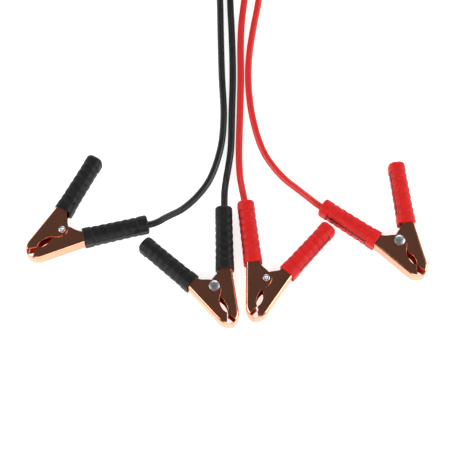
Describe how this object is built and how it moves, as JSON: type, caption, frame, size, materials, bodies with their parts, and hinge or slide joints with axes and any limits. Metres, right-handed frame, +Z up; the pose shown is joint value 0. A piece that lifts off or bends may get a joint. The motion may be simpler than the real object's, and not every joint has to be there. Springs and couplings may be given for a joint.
{
  "type": "car jumper cable set",
  "caption": "Black and red jumper leads with copper-plated crocodile clamps in ribbed grips; each lead is insulated cable wound in a coil and held by a tie.",
  "frame": {"origin": "on the floor, at the centre of the box round the four clamps", "axes": "+X along the row of clamps, from the black pair to the red pair; +Y the way the cables run; +Z up, along the hinge pins"},
  "size_m": [0.397, 0.4876, 0.0212],
  "materials": {
    "copper_plate": "bright copper plating on stamped steel",
    "bright_steel": "bright zinc-plated steel",
    "spring_steel": "plain spring wire",
    "black_grip": "soft PVC, satin",
    "red_grip": "soft PVC, satin",
    "black_cable": "flexible PVC jacket, satin",
    "red_cable": "flexible PVC jacket, satin",
    "tie": "moulded strap"
  },
  "bodies": {
    "leads": {"black_a_cable_jaw": "copper_plate", "black_a_cable_grip": "black_grip", "black_a_rivet": "bright_steel", "black_a_spring": "spring_steel", "black_b_cable_jaw": "copper_plate", "black_b_cable_grip": "black_grip", "black_b_rivet": "bright_steel", "black_b_spring": "spring_steel", "red_a_cable_jaw": "copper_plate", "red_a_cable_grip": "red_grip", "red_a_rivet": "bright_steel", "red_a_spring": "spring_steel", "red_b_cable_jaw": "copper_plate", "red_b_cable_grip": "red_grip", "red_b_rivet": "bright_steel", "red_b_spring": "spring_steel", "black_a_cable": "black_cable", "black_b_cable": "black_cable", "red_a_cable": "red_cable", "red_b_cable": "red_cable", "black_coil": "black_cable", "black_tie": "tie", "red_coil": "red_cable", "red_tie": "tie"},
    "black_a_free_half": {"black_a_free_jaw": "copper_plate", "black_a_free_grip": "black_grip"},
    "black_b_free_half": {"black_b_free_jaw": "copper_plate", "black_b_free_grip": "black_grip"},
    "red_a_free_half": {"red_a_free_jaw": "copper_plate", "red_a_free_grip": "red_grip"},
    "red_b_free_half": {"red_b_free_jaw": "copper_plate", "red_b_free_grip": "red_grip"}
  },
  "joints": [
    {"name": "black_a_hinge", "type": "hinge", "parent": "leads", "child": "black_a_free_half", "pos_m": [-0.163, 0.00833, 0.0106], "axis": [0, 0, -1], "range_deg": [0, 40], "stiffness_Nm_per_rad": 0.8, "springref_deg": -34.38, "deforming": ["black_a_spring"]},
    {"name": "black_b_hinge", "type": "hinge", "parent": "leads", "child": "black_b_free_half", "pos_m": [-0.012, -0.05057, 0.0106], "axis": [0, 0, -1], "range_deg": [0, 40], "stiffness_Nm_per_rad": 0.8, "springref_deg": -34.38, "deforming": ["black_b_spring"]},
    {"name": "red_a_hinge", "type": "hinge", "parent": "leads", "child": "red_a_free_half", "pos_m": [0.0392, -0.04237, 0.0106], "axis": [0, 0, 1], "range_deg": [0, 40], "stiffness_Nm_per_rad": 0.8, "springref_deg": -34.38, "deforming": ["red_a_spring"]},
    {"name": "red_b_hinge", "type": "hinge", "parent": "leads", "child": "red_b_free_half", "pos_m": [0.1714, -0.00297, 0.0106], "axis": [0, 0, 1], "range_deg": [0, 40], "stiffness_Nm_per_rad": 0.8, "springref_deg": -34.38, "deforming": ["red_b_spring"]}
  ]
}
